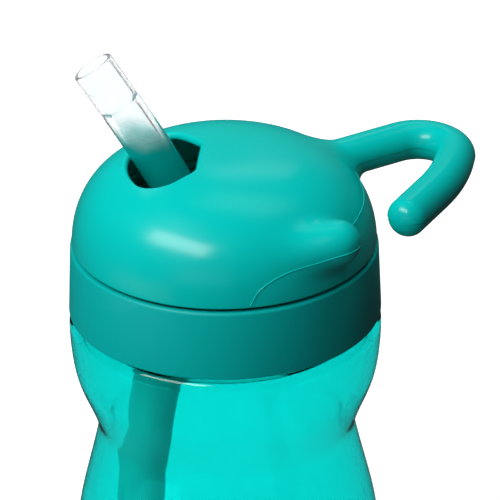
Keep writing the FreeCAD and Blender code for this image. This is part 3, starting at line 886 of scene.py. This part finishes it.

# %% [markdown]
# The straw is a thick clear silicone tube. It rises out of its bush, leans over at a knee and runs on
# almost straight; near its lip the bore steps out and the wall gets thinner. It is a skin of rings that
# goes up the outside, over the lip and down the bore.

# %% The mouth straw
LEAN_WAY = math.radians(170.5)
PORT = 9.8 * MM
KNEE_Z = CAP_BASE + 3.0 * MM
KNEE_RADIUS = 24.0 * MM
KNEE_ANGLE = math.radians(30.0)
BOW_RADIUS = 330.0 * MM
BOW = 21.2 * MM / BOW_RADIUS
LIP_RUN = 11.0 * MM
straw_low, straw_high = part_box("mouth_straw")


def straw_line(step=0.5 * MM):
    """Middle line of the straw, as (out, up) places and the lean from upright at each."""
    places, leans = [], []
    out, up, lean = PORT, straw_low.z, 0.0
    runs = [(KNEE_Z - up, 0.0), (KNEE_RADIUS * KNEE_ANGLE, 1 / KNEE_RADIUS),
            (BOW_RADIUS * BOW, 1 / BOW_RADIUS), (LIP_RUN, 0.0)]
    for length, bend in runs:
        count = max(int(length / step), 3)
        for _ in range(count):
            places.append((out, up))
            leans.append(lean)
            middle = lean + bend * length / count / 2
            out += math.sin(middle) * length / count
            up += math.cos(middle) * length / count
            lean += bend * length / count
    places.append((out, up))
    leans.append(lean)
    return np.array(places), np.array(leans)


def tube_ring(place, lean, radius, count=64):
    """A ring square to the middle line."""
    a = np.linspace(0, math.tau, count, endpoint=False)
    away = np.array([math.cos(LEAN_WAY), math.sin(LEAN_WAY), 0])
    across = np.array([-math.sin(LEAN_WAY), math.cos(LEAN_WAY), 0])
    tilt = away * math.cos(lean) - np.array([0, 0, math.sin(lean)])
    middle = away * place[0] + np.array([0, 0, place[1]])
    return middle + radius * (np.cos(a)[:, None] * tilt + np.sin(a)[:, None] * across)


def tube_skin(name, places, leans, outer, bore):
    """A tube with a wall: rings up the outside, over a rounded lip and down the bore."""
    rings = [tube_ring(p, l, r) for p, l, r in zip(places, leans, outer)]
    lip_middle, lip_half = (outer[-1] + bore[-1]) / 2, (outer[-1] - bore[-1]) / 2
    for a in np.radians([30, 60, 90, 120, 150]):
        rise = np.array([math.sin(leans[-1]), math.cos(leans[-1])]) * math.sin(a) * lip_half * 0.8
        rings.append(tube_ring(places[-1] + rise, leans[-1], lip_middle + lip_half * math.cos(a)))
    rings += [tube_ring(p, l, r) for p, l, r in zip(places[::-1], leans[::-1], bore[::-1])]
    return make_object(name, np.concatenate(rings), ring_faces(len(rings), 64, closed=True))


places, leans = straw_line()
length = np.concatenate([[0], np.cumsum(np.linalg.norm(np.diff(places, axis=0), axis=1))])
to_lip = length[-1] - length
STEP_LENGTH = 0.22 * MM
NECK_LENGTH = 0.9 * MM
step_in = 1 / (1 + np.exp((to_lip - LIP_RUN) / STEP_LENGTH))
neck_in = np.exp(-((to_lip - LIP_RUN) / NECK_LENGTH) ** 2)
outer = 5.08 * MM - 0.05 * MM * step_in - 0.16 * MM * neck_in
bore = (3.5 + 0.55 * step_in) * MM
straw = tube_skin("mouth_straw_soft", places, leans, outer, bore)
straw.visible_shadow = False
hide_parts("mouth_straw")
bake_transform(straw)
dress(straw, straw_silicone)
print("straw lip at", [round(float(x) / MM, 1) for x in (places[-1][0], places[-1][1])], "mm out and up")

# %% [markdown]
# The pieces that are right as the CAD made them stay, and only get their finish.

# %% Finishes for the CAD's own pieces
carried = {
    "lid_deck": deck_plastic_painted_shade, "lid_gasket": seal_silicone, "port_grommet": seal_silicone,
    "straw_post": post_plastic, "straw_tube": tube_plastic, "vent_valve": seal_silicone,
    "friction_ring": ring_rubber, "dome_snap_ring": cap_plastic,
}
for name, material in carried.items():
    mesh = nodes[name].data
    mesh.materials.clear()
    mesh.materials.append(material)
    mesh.polygons.foreach_set("use_smooth", [True] * len(mesh.polygons))

# %% [markdown]
# A white floor, one large soft light from the upper left and weaker fills. The floor glows a little and
# neither lights the bottle nor shows in its gloss, so that the right-hand side falls away into shade.

# %% Floor and lights
def plane(name, corners, colour, roughness=0.9):
    thing = make_object(name, corners, [tuple(range(len(corners)))], smooth=False)
    made = bpy.data.materials.new(name)
    made.use_nodes = True
    made.node_tree.nodes["Principled BSDF"].inputs["Base Color"].default_value = (*colour, 1)
    made.node_tree.nodes["Principled BSDF"].inputs["Roughness"].default_value = roughness
    thing.data.materials.append(made)
    return thing


FLOOR_HALF = 4.0
FLOOR_GLOW_NEAR, FLOOR_GLOW_FAR = 0.5, 0.95
GLOW_CHANGES_FROM, GLOW_CHANGES_TO = 0.5, 1.3
corners = [(x * FLOOR_HALF, y * FLOOR_HALF, 0) for x, y in ((-1, -1), (1, -1), (1, 1), (-1, 1))]
floor = plane("floor", corners, (0.93, 0.93, 0.93))
floor_tree = floor.data.materials[0].node_tree
glow = floor_tree.nodes["Principled BSDF"]
glow.inputs["Emission Color"].default_value = (1, 1, 1, 1)
from_middle = add(floor_tree, "ShaderNodeVectorMath", operation="LENGTH")
link(floor_tree, add(floor_tree, "ShaderNodeTexCoord").outputs["Object"], from_middle.inputs[0])
fade = add(floor_tree, "ShaderNodeMapRange", interpolation_type="SMOOTHSTEP")
fade.inputs["From Min"].default_value = GLOW_CHANGES_FROM
fade.inputs["From Max"].default_value = GLOW_CHANGES_TO
fade.inputs["To Min"].default_value = FLOOR_GLOW_NEAR
fade.inputs["To Max"].default_value = FLOOR_GLOW_FAR
link(floor_tree, from_middle.outputs["Value"], fade.inputs["Value"])
link(floor_tree, fade.outputs["Result"], glow.inputs["Emission Strength"])
floor.visible_diffuse = False
floor.visible_glossy = False
bottle.visible_shadow = False

bpy.context.scene.view_settings.view_transform = "Standard"
world = bpy.data.worlds.new("studio")
bpy.context.scene.world = world
world.use_nodes = True
world.node_tree.nodes["Background"].inputs["Color"].default_value = (1, 1, 1, 1)
world.node_tree.nodes["Background"].inputs["Strength"].default_value = 0.035


LIT_POINT = Vector((0, 0, 0.12))


def soft_light(name, place, target, size, power):
    lamp = bpy.data.lights.new(name, "AREA")
    lamp.shape = "RECTANGLE"
    lamp.size, lamp.size_y = size
    lamp.energy = power
    thing = bpy.data.objects.new(name, lamp)
    thing.location = place
    thing.rotation_euler = (Vector(target) - Vector(place)).to_track_quat("-Z", "Y").to_euler()
    bpy.context.scene.collection.objects.link(thing)
    return thing


LIGHTS = [
    # name, azimuth and elevation in degrees, distance, size, power, seen in reflections
    ("key", -134, 47, 0.78, (0.6, 0.22), 3.4, True),
    ("top_left", -155, 58, 0.78, (0.4, 0.4), 1.5, False),
    ("back_top", 60, 70, 0.80, (0.5, 0.3), 2.3, False),
    ("back_low", 85, 10, 0.80, (0.5, 0.3), 1.5, False),
    ("window", 82, 38, 0.80, (0.22, 0.12), 0.07, True),
    ("low_left", -150, -14, 0.40, (0.3, 0.1), 0.3, False),
    ("front", -105, 10, 0.60, (0.4, 0.2), 0.35, False),
]
for name, azimuth, elevation, distance, size, power, shiny in LIGHTS:
    a, e = math.radians(azimuth), math.radians(elevation)
    way = Vector((math.cos(e) * math.cos(a), math.cos(e) * math.sin(a), math.sin(e)))
    lamp = soft_light(name, LIT_POINT + way * distance, LIT_POINT, size, power)
    lamp.visible_glossy = shiny
    lamp.visible_camera = False
print("lights:", [row[0] for row in LIGHTS])

# %% [markdown]
# The camera looks down a little from straight in front, through a very long lens, and is rolled by half
# a degree. It is aimed at the level where the cap meets the lid.

# %% Camera
ELEVATION = math.radians(27.5)
ROLL = math.radians(0.6)
DISTANCE = 1.0
back = Vector((0, -math.cos(ELEVATION), math.sin(ELEVATION)))
right, up = Vector((1, 0, 0)), Vector((0, math.sin(ELEVATION), math.cos(ELEVATION)))
rolled_right = right * math.cos(ROLL) - up * math.sin(ROLL)
rolled_up = right * math.sin(ROLL) + up * math.cos(ROLL)
lens = bpy.data.cameras.new("camera")
lens.lens, lens.sensor_width, lens.clip_end = 306.3, 36.0, 20
camera = bpy.data.objects.new("camera", lens)
bpy.context.scene.collection.objects.link(camera)
aim = Vector((0, 0, CAP_BASE)) + rolled_right * 6.04 * MM - rolled_up * 2.91 * MM
turn = Matrix((rolled_right, rolled_up, back)).transposed()
camera.matrix_world = Matrix.Translation(aim + back * DISTANCE) @ turn.to_4x4()
bpy.context.scene.camera = camera
